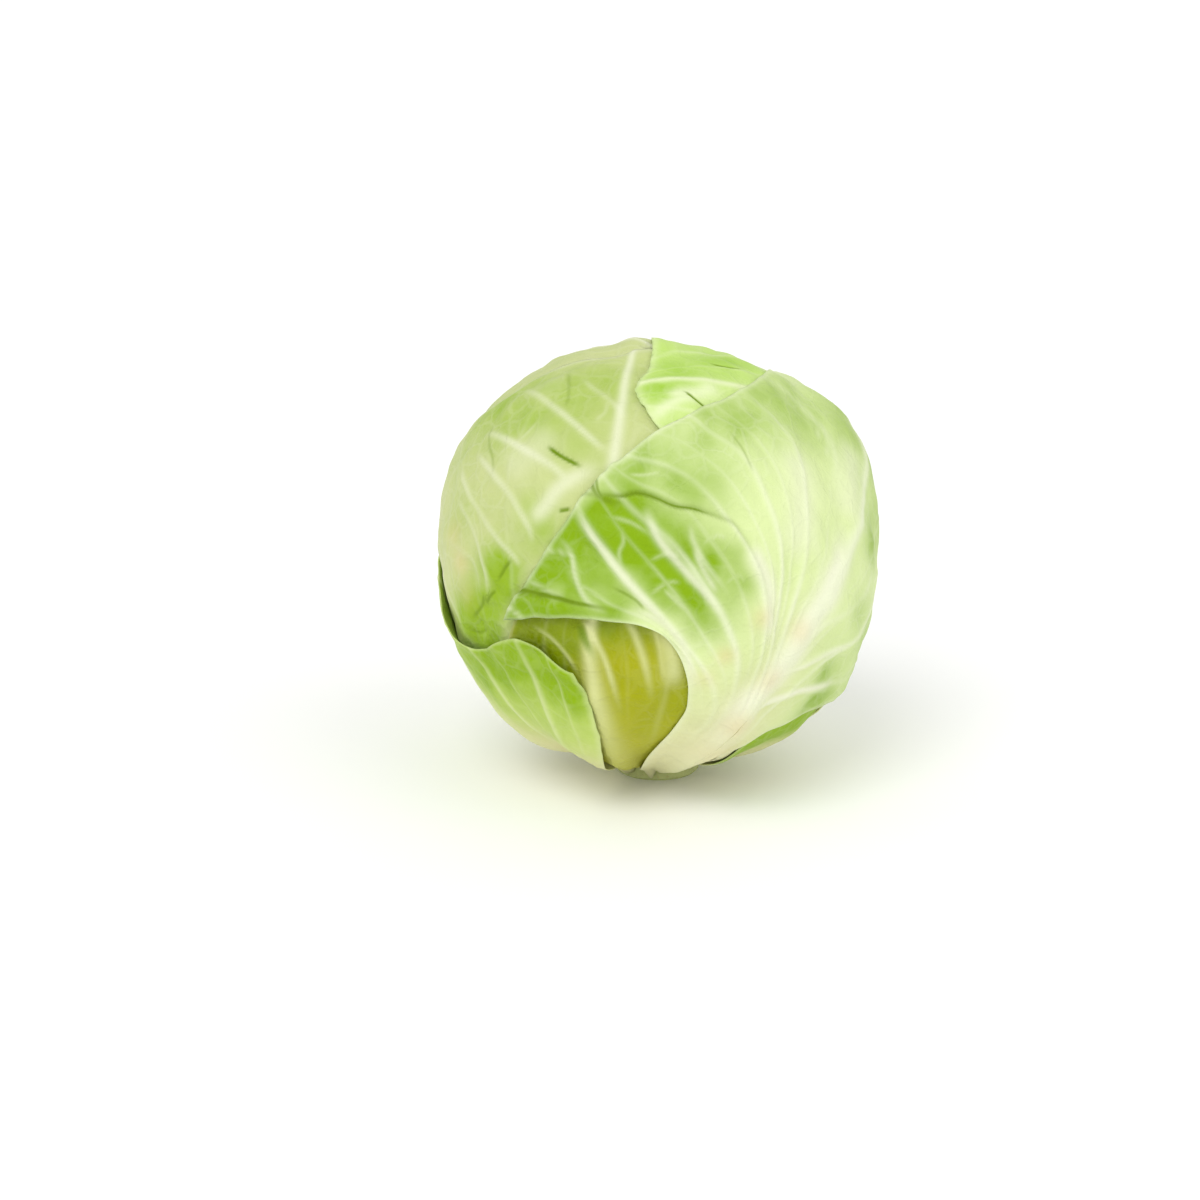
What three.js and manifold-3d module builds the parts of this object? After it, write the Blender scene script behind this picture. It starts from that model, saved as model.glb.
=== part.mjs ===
// A round green cabbage head standing on its cut stem, built leaf by leaf.
// Millimetres, +Z up. The origin is the centre of the cut stem face, which lies on the table.
// A stalk runs up into a heart of tightly packed leaves. Inner leaves and seven large wrapper leaves are laid
// over the heart from the inside out, each resting on the leaves under it with a small gap.
import * as THREE from "three";
import { mergeVertices } from "three/addons/utils/BufferGeometryUtils.js";
import Module from "manifold-3d";

const wasm = await Module();
wasm.setup();

// Driving dimensions
const centreHeight = 89; // the head's middle above the table
const headRadius = 87.8;
const leafThickness = 1.0;
const marginThickness = 0.7;
const leafLift = 2.4; // how far one leaf lifts the next: its blade, its veins and the gap
const innerLift = 2.8; // the inner leaves have no side veins, but larger facets
const seatGap = 2.0; // between the heart and the first leaf on it
const stemHalfAngle = 11; // the stalk is a cone that points at the head's middle, in degrees
const stemGapAngle = 0.35;
const hollowDepth = 7.5; // the heart's hollow round the stalk
const coverNear = 9; // a leaf is fully lifted this far outside the margin of the one under it
const coverFar = 27;
const broadNear = -30; // the heart gives way to the leaves on it over a broader band
const broadFar = 60;
const crowdedFrom = 12; // leaf bases are crowded this near to the stalk, in degrees from straight down
const crowdedTo = 50;
const crowdedScale = 0.25;
const ribWidth = 6; // half width and height of a midrib at its base
const ribHeight = 3;
const ribEdge = 1.5; // half width and height that are left of the midrib at the margin
const ribTip = 0.3;
const ribBridge = 12; // how far a leaf stands off at each side of a midrib under it
const veinHeight = 0.55;

// Broad swellings that make the head a little uneven: longitude, latitude, height, angular width
const swellings = [
  [100, 34, 7.5, 16],
  [95, 0, -1.5, 24],
  [88, 64, 2.5, 16],
  [-98, 42, 5.0, 38],
  [-90, -16, -2.4, 20],
  [80, -34, 1.2, 18],
  [0, 90, -2.2, 16],
  [24, -68, 2.6, 20],
  [-60, -78, -1.4, 18],
  [170, 10, 1.6, 30],
  [-104, 79, 2.2, 8],
  [162, 84, -1.8, 9],
];

const wrapperColour = new THREE.Color(0.7, 0.8, 0.45);
const heartColour = new THREE.Color(0.86, 0.87, 0.62);
const stalkColour = new THREE.Color(0.88, 0.87, 0.7);

const degree = Math.PI / 180;

// A unit vector from a longitude (0 at the front, positive to the right) and a latitude, in degrees.
function direction([lon, lat]) {
  const a = lon * degree;
  const b = lat * degree;
  return new THREE.Vector3(Math.sin(a) * Math.cos(b), -Math.cos(a) * Math.cos(b), Math.sin(b));
}

function smoothstep(low, high, x) {
  const t = THREE.MathUtils.clamp((x - low) / (high - low), 0, 1);
  return t * t * (3 - 2 * t);
}

// Catmull-Rom through a row of points; x runs from 0 to the last index.
function along(points, x) {
  const last = points.length - 1;
  const i = Math.min(Math.floor(x), last - 1);
  const f = x - i;
  const p1 = points[i];
  const p2 = points[i + 1];
  const p0 = i > 0 ? points[i - 1] : p1.clone().multiplyScalar(2).sub(p2);
  const p3 = i + 2 <= last ? points[i + 2] : p2.clone().multiplyScalar(2).sub(p1);
  return new THREE.Vector3()
    .addScaledVector(p0, 0.5 * (-f + 2 * f * f - f ** 3))
    .addScaledVector(p1, 0.5 * (2 - 5 * f * f + 3 * f ** 3))
    .addScaledVector(p2, 0.5 * (f + 4 * f * f - 3 * f ** 3))
    .addScaledVector(p3, 0.5 * (-f * f + f ** 3));
}

// Each leaf is a fan of lines from its base at the stalk to its far margin. The lines run from its left edge
// to its right edge, and each holds longitude and latitude from base to margin. rib is the midrib's line.
const baseLat = -90 + stemHalfAngle + stemGapAngle;
const leafShapes = [
  {
    name: "back_leaf",
    lift: 2.6,
    rib: 2,
    grid: [16, 16],
    lines: [
      [[162, baseLat], [155, -52], [140, -22], [128, 6], [120, 30], [112, 50]],
      [[177, baseLat], [175, -50], [165, -18], [158, 14], [150, 44], [120, 74]],
      [[192, baseLat], [198, -48], [206, -15], [214, 16], [224, 48], [350, 84]],
      [[207, baseLat], [222, -50], [244, -20], [258, 10], [274, 42], [330, 80]],
      [[222, baseLat], [245, -54], [272, -32], [296, -10], [312, 16], [326, 44]],
    ],
  },
  {
    name: "left_leaf",
    rib: 3,
    grid: [20, 17],
    lines: [
      [[-65, baseLat], [-62, -54], [-80, -30], [-92, -8], [-98, 14], [-96, 31]],
      [[-54, baseLat], [-48, -52], [-58, -24], [-68, 2], [-74, 28], [-80, 48]],
      [[-43, baseLat], [-36, -50], [-38, -20], [-42, 8], [-50, 38], [-76, 65]],
      [[-32, baseLat], [-26, -48], [-20, -16], [-14, 14], [-16, 48], [-40, 80]],
      [[-21, baseLat], [-16, -48], [-4, -16], [6, 14], [18, 46], [50, 76]],
      [[-10, baseLat], [-6, -50], [12, -24], [24, 0], [36, 28], [58, 52]],
    ],
  },
  {
    name: "right_leaf",
    rib: 2,
    grid: [16, 16],
    lines: [
      [[30, baseLat], [30, -54], [38, -30], [52, -8], [68, 16], [84, 40]],
      [[44, baseLat], [56, -52], [72, -26], [90, -2], [108, 24], [120, 52]],
      [[58, baseLat], [78, -54], [104, -28], [126, -4], [144, 22], [158, 52]],
      [[72, baseLat], [98, -58], [130, -36], [154, -14], [172, 10], [184, 38]],
      [[86, baseLat], [112, -64], [146, -48], [174, -32], [196, -14], [208, 6]],
    ],
  },
  {
    name: "crown_leaf",
    rib: 2,
    lift: 4.05,
    grid: [16, 20],
    lines: [
      [[82, baseLat], [84, -48], [68, -20], [50, 6], [28, 30], [2, 44]],
      [[96, baseLat], [95, -46], [83, -16], [68, 14], [42, 42], [-8, 56]],
      [[110, baseLat], [106, -44], [100, -12], [90, 20], [66, 52], [-15, 64]],
      [[124, baseLat], [118, -42], [118, -8], [116, 26], [105, 60], [-10, 76]],
      [[138, baseLat], [130, -48], [140, -20], [150, 8], [165, 36], [190, 64]],
    ],
  },
  {
    name: "fold_leaf",
    lift: 2.8,
    pleats: [
      {
        line: [[-21, -2], [-19.5, -6], [-17, -11], [-13, -19]],
        height: 1.7,
        steep: 3,
        soft: 6,
        fade: [0, 0.3, 0.6, 1],
      },
    ],
    rib: 2,
    grid: [16, 14],
    lines: [
      [[-44, baseLat], [-36, -56], [-43, -40], [-45, -26], [-43, -12], [-38, 0]],
      [[-30, baseLat], [-26, -54], [-30, -34], [-32, -18], [-30, -6], [-26, 5]],
      [[-16, baseLat], [-16, -54], [-16, -34], [-17, -18], [-17, -5], [-15, 6]],
      [[-2, baseLat], [-5, -54], [0, -34], [2, -18], [1, -6], [-2, 6]],
      [[12, baseLat], [6, -56], [18, -38], [24, -22], [24, -8], [16, 4]],
    ],
  },
  {
    name: "front_leaf",
    rolls: [{ onLeft: true, height: 2.2, reach: 0.1, from: 0.62, to: 0.85 }],
    pleats: [
      {
        line: [[-23, 29], [-11, 29], [-5, 30], [4, 27], [10, 26], [18, 23], [21, 20], [25, 12], [27, 7], [31, -8]],
        height: 2.6,
        steep: 4,
        soft: 13,
        fade: [-0.15, 0.2, 0.4, 1],
      },
      {
        line: [[-45, 2], [-42, 1.5], [-36, 3], [-28, 3], [-22, 2.5], [-16, 3.5]],
        height: 2.0,
        steep: 3,
        soft: 7,
        fade: [-0.15, 0.2, 0.7, 1],
      },
      {
        line: [[-12, 29], [-16.5, 30.5], [-19, 34], [-18, 39]],
        height: 1.2,
        steep: 2.5,
        soft: 5,
        fade: [-0.15, 0.2, 0.5, 1],
      },
    ],
    rib: 6,
    grid: [32, 24],
    lines: [
      [[-26, baseLat], [-4, -50], [8, -24], [1, -4], [-20, -1], [-45, -6]],
      [[-18, baseLat], [4.5, -50], [15.5, -23], [6.5, -5.5], [-9, 11], [-25, 27]],
      [[-11, baseLat], [7.5, -50], [20, -20], [17, -1], [3, 18], [-18, 36]],
      [[-4, baseLat], [9.5, -50], [25, -19], [27, 4], [16, 28.5], [-12, 42.5]],
      [[4, baseLat], [11, -50], [28, -17], [33, 12], [29, 36], [10, 53]],
      [[11, baseLat], [12.3, -50], [30, -18], [41, 13], [48, 38], [45, 60]],
      [[19, baseLat], [13.5, -50], [31.5, -20.5], [53, 5], [84, 25], [125, 48]],
      [[26, baseLat], [15, -50.5], [34, -29], [60, -14], [90, -2], [130, 14]],
      [[34, baseLat], [17, -51.5], [36, -40], [60, -38], [88, -33], [112, -20]],
    ],
  },
  {
    name: "base_leaf",
    rolls: [{ height: 2.4, reach: 0.2, from: 0.45, to: 0.95 }],
    rib: 2,
    grid: [20, 11],
    lines: [
      [[-88, baseLat], [-104, -62], [-124, -48], [-138, -34], [-146, -20], [-148, -6]],
      [[-77, baseLat], [-84, -58], [-98, -42], [-108, -26], [-114, -10], [-116, 4]],
      [[-66, baseLat], [-64, -56], [-70, -40], [-76, -26], [-80, -14], [-82, -3]],
      [[-54, baseLat], [-50, -58], [-50, -44], [-53, -32], [-56, -23], [-58, -15.5]],
      [[-43, baseLat], [-36, -59], [-33, -45], [-33, -32], [-35, -20], [-37, -7.5]],
      [[-32, baseLat], [-26, -60], [-19, -46], [-17, -34], [-18, -22], [-22, -12.5]],
    ],
  },
];

// Four broad inner leaves wrap the heart. Each sits a golden angle round from the one before.
const innerCount = 4;
const goldenAngle = 137.5;
const innerSpread = [-62, -34, 0, 34, 62]; // how far each line leans from the midrib at the widest
const innerRise = [-46, -14, 20, 52];
const innerTop = [50, 70, 84, 70, 50];

function innerLeaf(index) {
  const turn = 20 + index * goldenAngle;
  const lines = innerSpread.map((lean, k) => [
    [turn + lean * 0.45, baseLat],
    ...innerRise.map((lat, m) => [turn + lean * [0.8, 1.05, 1.1, 1.15][m], lat * (1 - Math.abs(lean) / 400)]),
    [turn + lean * 1.2, innerTop[k]],
  ]);
  return { name: `inner_leaf_${index + 1}`, rib: 2, grid: [12, 12], lift: innerLift, plain: true, lines };
}

// Turns a leaf's lines into directions, and samples its midrib and its outline.
function prepare(shape) {
  const net = shape.lines.map((line) => line.map(direction));
  const columns = net.length - 1;
  const rows = net[0].length - 1;
  const at = (u, v) => along(net.map((line) => along(line, v * rows)), u * columns).normalize();
  const ribU = shape.rib / columns;
  const rib = [];
  for (let i = 0; i <= 40; i++) rib.push({ v: i / 40, point: at(ribU, i / 40) });
  const outline = [];
  const side = 40;
  for (let i = 0; i < side; i++) outline.push(at(0, i / side));
  for (let i = 0; i < 2 * side; i++) outline.push(at(i / (2 * side), 1));
  for (let i = side; i > 0; i--) outline.push(at(1, i / side));
  for (let i = side / 4; i > 0; i--) outline.push(at(i / (side / 4), 0));
  const outward = outline.map((p, i) => {
    const before = outline[(i + outline.length - 1) % outline.length];
    const after = outline[(i + 1) % outline.length];
    return new THREE.Vector3().subVectors(after, before).cross(p).normalize();
  });
  // The outline turns one way for every leaf; this makes its side vectors point away from the leaf.
  const middle = at(0.5, 0.5);
  const nearest = outline.reduce((best, p, i) => (p.dot(middle) > outline[best].dot(middle) ? i : best), 0);
  const flip = middle.clone().sub(outline[nearest]).dot(outward[nearest]) > 0 ? -1 : 1;
  outward.forEach((n) => n.multiplyScalar(flip));
  return { lift: leafLift, ...shape, at, rib, ribU, outline, outward };
}

// How far a direction lies outside a leaf's outline, in millimetres on the head; negative inside.
function outside(leaf, dir) {
  let best = 0;
  let most = -2;
  leaf.outline.forEach((p, i) => {
    const d = p.dot(dir);
    if (d > most) {
      most = d;
      best = i;
    }
  });
  const arc = Math.acos(Math.min(1, most)) * headRadius;
  return dir.clone().sub(leaf.outline[best]).dot(leaf.outward[best]) > 0 ? arc : -arc;
}

// Degrees from straight down.
function fromBottom(dir) {
  return Math.acos(THREE.MathUtils.clamp(-dir.z, -1, 1)) / degree;
}

// Leaves follow each other more closely round the stalk, where their bases are crowded.
function crowding(dir) {
  return THREE.MathUtils.lerp(crowdedScale, 1, smoothstep(crowdedFrom, crowdedTo, fromBottom(dir)));
}

// The midrib's height and half width nearest to a direction, and how far away it is.
function nearestRib(leaf, dir) {
  let most = -2;
  let v = 0;
  for (const sample of leaf.rib) {
    const d = sample.point.dot(dir);
    if (d > most) {
      most = d;
      v = sample.v;
    }
  }
  const arc = Math.acos(Math.min(1, most)) * headRadius;
  const width = ribEdge + ribWidth * (1 - v) ** 1.1;
  const height = ribTip + ribHeight * (1 - v) ** 1.7;
  return { arc, width, height };
}

// The midrib's own rounded ridge, and the broader rise that it gives a leaf lying over it.
function ribRelief(leaf, dir) {
  const { arc, width, height } = nearestRib(leaf, dir);
  return height * Math.exp(-((arc / width) ** 2));
}

function ribLift(leaf, dir, crowd) {
  const { arc, width, height } = nearestRib(leaf, dir);
  return height * (1 - smoothstep(width, 1.6 * width + ribBridge * crowd, arc));
}

// The heart's radius in a direction: the head less the leaves that lie on it.
function heartSurface(dir) {
  let radius = headRadius - hollowDepth * (1 - smoothstep(crowdedFrom, crowdedTo, fromBottom(dir)));
  for (const leaf of leaves) {
    radius -= leaf.lift * (1 - smoothstep(broadNear, broadFar, outside(leaf, dir)));
  }
  for (const [lon, lat, height, width] of swellings) {
    const angle = Math.acos(THREE.MathUtils.clamp(direction([lon, lat]).dot(dir), -1, 1)) / degree;
    radius += height * Math.exp(-((angle / width) ** 2));
  }
  const { x, y, z } = dir;
  radius += 0.5 * Math.sin(5.1 * x + 3.3 * y + 1.7) + 0.4 * Math.sin(6.3 * z - 4.7 * y + 0.6);
  return radius;
}

// Where a leaf's inner face lies in a direction, over every leaf laid before it.
function seat(under, dir) {
  let radius = heartSurface(dir) + seatGap;
  const crowd = crowding(dir);
  for (const leaf of under) {
    const cover = 1 - smoothstep(coverNear * crowd, coverFar * crowd, outside(leaf, dir));
    if (cover > 0) radius += cover * (leaf.lift + ribLift(leaf, dir, crowd));
  }
  return radius;
}

// A closed thin solid from two grids of points, the outer one and the inner one.
function shell(outer, inner) {
  const columns = outer.length;
  const rows = outer[0].length;
  const positions = [...outer.flat(), ...inner.flat()].flatMap((p) => [p.x, p.y, p.z]);
  const index = [];
  const id = (layer, i, j) => layer * columns * rows + i * rows + j;
  const quad = (a, b, c, d) => index.push(a, b, c, a, c, d);
  for (let i = 0; i + 1 < columns; i++)
    for (let j = 0; j + 1 < rows; j++) {
      quad(id(0, i, j), id(0, i + 1, j), id(0, i + 1, j + 1), id(0, i, j + 1));
      quad(id(1, i, j), id(1, i, j + 1), id(1, i + 1, j + 1), id(1, i + 1, j));
    }
  for (let i = 0; i + 1 < columns; i++)
    for (const j of [0, rows - 1]) {
      const [a, b] = j ? [i + 1, i] : [i, i + 1];
      quad(id(0, b, j), id(0, a, j), id(1, a, j), id(1, b, j));
    }
  for (let j = 0; j + 1 < rows; j++)
    for (const i of [0, columns - 1]) {
      const [a, b] = i ? [j, j + 1] : [j + 1, j];
      quad(id(0, i, b), id(0, i, a), id(1, i, a), id(1, i, b));
    }
  const geometry = new THREE.BufferGeometry();
  geometry.setAttribute("position", new THREE.Float32BufferAttribute(positions, 3));
  geometry.setIndex(index);
  return geometry;
}

// Side veins run along every second line of the blade, from beside the midrib to the far margin.
function veinRelief(leaf, column, v) {
  const ribColumn = leaf.ribU * leaf.grid[0];
  const isVein = column % 2 === ribColumn % 2 && column > 0 && column < leaf.grid[0];
  if (leaf.plain || !isVein) return 0;
  return veinHeight * smoothstep(0.15, 0.35, v) * (1 - smoothstep(0.85, 1, v));
}

// A margin that rolls outwards, away from the head, over part of its length: the far one, or the left one.
function rollRelief(leaf, u, v) {
  let height = 0;
  for (const roll of leaf.rolls ?? []) {
    const place = roll.onLeft ? v : u;
    const fromMargin = roll.onLeft ? u : 1 - v;
    const start = smoothstep(roll.from - 0.08, roll.from + 0.04, place);
    const end = 1 - smoothstep(roll.to, roll.to + 0.15, place);
    height += roll.height * start * end * (1 - smoothstep(0, roll.reach, fromMargin));
  }
  return height;
}

// Creases where the blade is folded over itself: steep to the left of each line, easing off to its right.
const pleatSteps = 60;
const pleatLeft = 0.15; // the share of a pleat's height that is left where it fades out

function pleatRelief(leaf, dir) {
  let relief = 0;
  for (const pleat of leaf.pleats ?? []) {
    const line = pleat.line.map(direction);
    const last = line.length - 1;
    const point = (place) => along(line, last * THREE.MathUtils.clamp(place, 0, 1)).normalize();
    let most = -2;
    let place = 0;
    for (let i = 0; i <= pleatSteps; i++) {
      const d = point(i / pleatSteps).dot(dir);
      if (d > most) {
        most = d;
        place = i / pleatSteps;
      }
    }
    const arc = Math.acos(Math.min(1, most)) * headRadius;
    const ahead = point(place + 1 / pleatSteps).sub(point(place - 1 / pleatSteps));
    const onLeft = ahead.cross(dir.clone().sub(point(place))).dot(dir) > 0;
    const [start, full, easing, end] = pleat.fade;
    const height = pleat.height * smoothstep(start, full, place);
    const left = 1 - (1 - pleatLeft) * smoothstep(easing, end, place);
    relief = Math.max(relief, height * left * Math.exp(-((arc / (onLeft ? pleat.steep : pleat.soft)) ** 2)));
  }
  return relief;
}

function leafGeometry(leaf, under) {
  const [columns, rows] = leaf.grid;
  const outer = [];
  const inner = [];
  for (let i = 0; i <= columns; i++) {
    const u = i / columns;
    const outerLine = [];
    const innerLine = [];
    for (let j = 0; j <= rows; j++) {
      const v = j / rows;
      const dir = leaf.at(u, v);
      const edge = Math.min(u, 1 - u, 1 - v);
      const blade = THREE.MathUtils.lerp(marginThickness, leafThickness, smoothstep(0, 0.08, edge));
      const low = seat(under, dir) + rollRelief(leaf, u, v);
      const high = low + blade + ribRelief(leaf, dir) + veinRelief(leaf, i, v) + pleatRelief(leaf, dir);
      innerLine.push(dir.clone().multiplyScalar(low));
      outerLine.push(dir.clone().multiplyScalar(high));
    }
    outer.push(outerLine);
    inner.push(innerLine);
  }
  return shell(outer, inner);
}

// The heart is a dense ball of folded leaves with a conical socket for the stalk's core.
const coreTop = 48; // how far the stalk's core reaches up, measured from the head's middle downwards
const heartGrid = [32, 24];

function heartGeometry() {
  const [around, down] = heartGrid;
  const positions = [];
  const index = [];
  const ring = (radiusAt, lat) => {
    for (let i = 0; i < around; i++) {
      const dir = direction([(360 * i) / around, lat]);
      const p = dir.multiplyScalar(radiusAt(dir));
      positions.push(p.x, p.y, p.z);
    }
  };
  for (let j = 1; j <= down; j++) ring(heartSurface, 90 - ((90 - baseLat) * j) / down);
  ring(() => coreTop - 1, baseLat);
  positions.push(0, 0, heartSurface(new THREE.Vector3(0, 0, 1)));
  positions.push(0, 0, -coreTop + 1);
  const top = (down + 1) * around;
  for (let i = 0; i < around; i++) {
    const next = (i + 1) % around;
    index.push(top, i, next);
    for (let j = 0; j < down; j++) {
      const a = j * around;
      const b = a + around;
      index.push(a + i, b + i, b + next, a + i, b + next, a + next);
    }
    index.push(down * around + i, top + 1, down * around + next);
  }
  const geometry = new THREE.BufferGeometry();
  geometry.setAttribute("position", new THREE.Float32BufferAttribute(positions, 3));
  geometry.setIndex(index);
  return geometry;
}

// The stalk: a cone that narrows towards the head's middle, cut flat where the head was harvested.
function stalkGeometry() {
  const sides = 36;
  const slope = Math.tan(stemHalfAngle * degree);
  const top = coreTop + 1; // below the socket's end
  const profile = [
    [0, -centreHeight],
    [centreHeight * slope - 1.2, -centreHeight],
    [(centreHeight - 1) * slope, -centreHeight + 1],
    [(top + 6) * slope, -top - 6],
    [top * slope * 0.8, -top],
    [0, -top],
  ].map(([r, z]) => new THREE.Vector2(r, z));
  const lathe = new THREE.LatheGeometry(profile, sides);
  lathe.rotateX(Math.PI / 2);
  return lathe;
}

function solidOf(geometry) {
  const plain = geometry.clone();
  plain.deleteAttribute("normal");
  plain.deleteAttribute("uv");
  const merged = mergeVertices(plain, 1e-3);
  const triVerts = new Uint32Array(merged.index.array);
  const vertProperties = merged.attributes.position.array;
  return new wasm.Manifold(new wasm.Mesh({ numProp: 3, vertProperties, triVerts }));
}

function named(name, geometry, colour, roughness) {
  const solid = solidOf(geometry);
  if (solid.volume() < 0) {
    const order = geometry.index.array;
    for (let i = 0; i < order.length; i += 3) [order[i + 1], order[i + 2]] = [order[i + 2], order[i + 1]];
  }
  const material = new THREE.MeshStandardMaterial({ color: colour, roughness, metalness: 0 });
  const mesh = new THREE.Mesh(geometry, material);
  mesh.name = name;
  return mesh;
}

const innerLeaves = Array.from({ length: innerCount }, (_, i) => innerLeaf(i));
const leaves = [...innerLeaves, ...leafShapes].map(prepare);

const head = new THREE.Group();
head.position.z = centreHeight;
head.add(named("stalk", stalkGeometry(), stalkColour, 0.7));
head.add(named("heart", heartGeometry(), heartColour, 0.6));

leaves.forEach((leaf, i) => {
  head.add(named(leaf.name, leafGeometry(leaf, leaves.slice(0, i)), wrapperColour, 0.5));
});

const cabbage = new THREE.Group();
cabbage.add(head);
export default cabbage;
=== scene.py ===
import bpy
import bmesh
import math
import numpy as np
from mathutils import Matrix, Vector


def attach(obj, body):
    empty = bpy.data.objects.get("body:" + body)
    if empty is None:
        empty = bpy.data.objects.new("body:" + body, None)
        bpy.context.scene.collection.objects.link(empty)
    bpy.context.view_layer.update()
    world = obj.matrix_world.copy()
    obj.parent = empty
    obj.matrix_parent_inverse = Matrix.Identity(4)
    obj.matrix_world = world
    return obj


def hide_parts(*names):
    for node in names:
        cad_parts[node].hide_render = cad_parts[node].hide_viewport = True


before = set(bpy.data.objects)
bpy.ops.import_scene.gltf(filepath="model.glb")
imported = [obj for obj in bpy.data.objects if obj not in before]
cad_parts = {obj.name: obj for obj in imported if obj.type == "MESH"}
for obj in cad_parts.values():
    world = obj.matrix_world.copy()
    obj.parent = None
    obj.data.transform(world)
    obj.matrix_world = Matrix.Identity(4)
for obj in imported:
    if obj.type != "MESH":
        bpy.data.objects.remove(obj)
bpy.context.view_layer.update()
print("frame loaded")

# Everything about the head is worked out in millimetres from its middle, then placed in metres.
head = {
    "centreHeight": 89.0,
    "radius": 87.8,
    "blade": 0.95,  # leaf thickness
    "margin": 0.42,  # leaf thickness at its edge
    "lift": 1.55,  # how far one leaf raises the next
    "seatGap": 0.6,
    "hollowDepth": 7.5,  # hollow round the stalk
    "coverNear": 2.5,  # a leaf settles onto what lies beyond a hidden margin over this distance
    "coverFar": 14.0,
    "broadNear": -30.0,  # the heart gives way to the leaves on it over a broader band
    "broadFar": 60.0,
    "crowdedFrom": 12.0,  # leaf bases are crowded this near to the stalk, in degrees from straight down
    "crowdedTo": 50.0,
    "crowdedScale": 0.25,
    "ribWidth": 6.0,  # half width and height of a midrib at its base
    "ribHeight": 3.0,
    "ribEdge": 1.5,  # half width and height that are left of it at the far margin
    "ribTip": 0.3,
    "ribNarrowing": 1.1,
    "ribFlattening": 1.7,
    "ribBridge": 12.0,  # how far a leaf stands off beside a midrib under it
    # longitude, latitude, height and angular width of broad swellings
    "swellings": [
        (100, 34, 7.5, 16),
        (95, 0, -1.5, 24),
        (88, 64, 2.5, 16),
        (-98, 42, 5.0, 38),
        (-90, -16, -2.4, 20),
        (80, -34, 1.2, 18),
        (0, 90, -2.2, 16),
        (24, -68, 2.6, 20),
        (-60, -78, -1.4, 18),
        (170, 10, 1.6, 30),
        (-104, 79, 2.2, 8),
        (162, 84, -1.8, 9),
    ],
}
baseLat = -78.65  # where the blades meet the stalk


def direction(lon, lat):
    a = np.radians(np.asarray(lon, float))
    b = np.radians(np.asarray(lat, float))
    return np.stack([np.sin(a) * np.cos(b), -np.cos(a) * np.cos(b), np.sin(b)], axis=-1)


def smooth(low, high, x):
    t = np.clip((x - low) / (high - low), 0, 1)
    return t * t * (3 - 2 * t)


def unit(p):
    return p / np.linalg.norm(p, axis=-1, keepdims=True)


def angle(dirs, lon, lat):
    return np.degrees(np.arccos(np.clip(dirs @ direction(lon, lat), -1, 1)))


# A smooth curve through rows of points; x runs from 0 to the last one, and the last two axes of points
# are the row and its three coordinates.
def curveThrough(points, x):
    last = points.shape[-2] - 1
    i = np.minimum(np.floor(x).astype(int), last - 1)
    f = (x - i)[..., None]
    take = lambda k: np.take_along_axis(points, k[..., None, None].repeat(3, -1), -2)[..., 0, :] \
        if points.ndim > 2 else points[k]
    p1, p2 = take(i), take(i + 1)
    p0 = np.where((i > 0)[..., None], take(np.maximum(i - 1, 0)), 2 * p1 - p2)
    p3 = np.where((i + 2 <= last)[..., None], take(np.minimum(i + 2, last)), 2 * p2 - p1)
    return (p0 * (-f + 2 * f**2 - f**3) + p1 * (2 - 5 * f**2 + 3 * f**3)
            + p2 * (f + 4 * f**2 - 3 * f**3) + p3 * (f**3 - f**2)) / 2


def bladeDirection(leaf, u, v):
    net = leaf["net"]
    rows = net.shape[1] - 1
    lines = np.stack([curveThrough(line, v * rows) for line in net], axis=1)
    return unit(curveThrough(lines, u * (net.shape[0] - 1)))


# Soft unevenness over the head: a few seeded waves, about -1 to 1.
def ripple(dirs, waves, seed):
    rng = np.random.default_rng(seed)
    k = rng.normal(size=(9, 3))
    k *= waves * rng.uniform(0.7, 1.3, (9, 1)) / np.linalg.norm(k, axis=1, keepdims=True)
    return np.sin(dirs @ k.T + rng.uniform(0, 6.28, 9)).mean(axis=1) * 2.2


# Distance in millimetres from each direction to a curve, how far along it from 0 to 1, and the distance
# to its left side as a positive or negative number.
def curveDistance(dirs, curve):
    last = len(curve) - 1
    near = dirs @ curve.T
    best = near.argmax(axis=1)
    arc = np.arccos(np.clip(near[np.arange(len(dirs)), best], -1, 1)) * head["radius"]
    ahead = unit(curve[np.minimum(best + 1, last)] - curve[np.maximum(best - 1, 0)])
    side = np.einsum("ij,ij->i", np.cross(ahead, dirs - curve[best]), dirs) * head["radius"]
    return np.where((best > 0) & (best < last), np.abs(side), arc), best / last, side


def strokeDistance(dirs, line, samples=100):
    points = direction([p[0] for p in line], [p[1] for p in line])
    curve = unit(curveThrough(points, np.linspace(0, len(line) - 1, samples + 1)))
    return curveDistance(dirs, curve)


# A ridge along a line, 1 high and fading over a share of its length at each end.
def drawnRidge(dirs, line, width, taper):
    arc, place, _ = strokeDistance(dirs, line)
    ends = smooth(-0.02, taper, place) * (1 - smooth(1 - taper, 1.02, place))
    return np.exp(-(arc / width) ** 2) * ends


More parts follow.
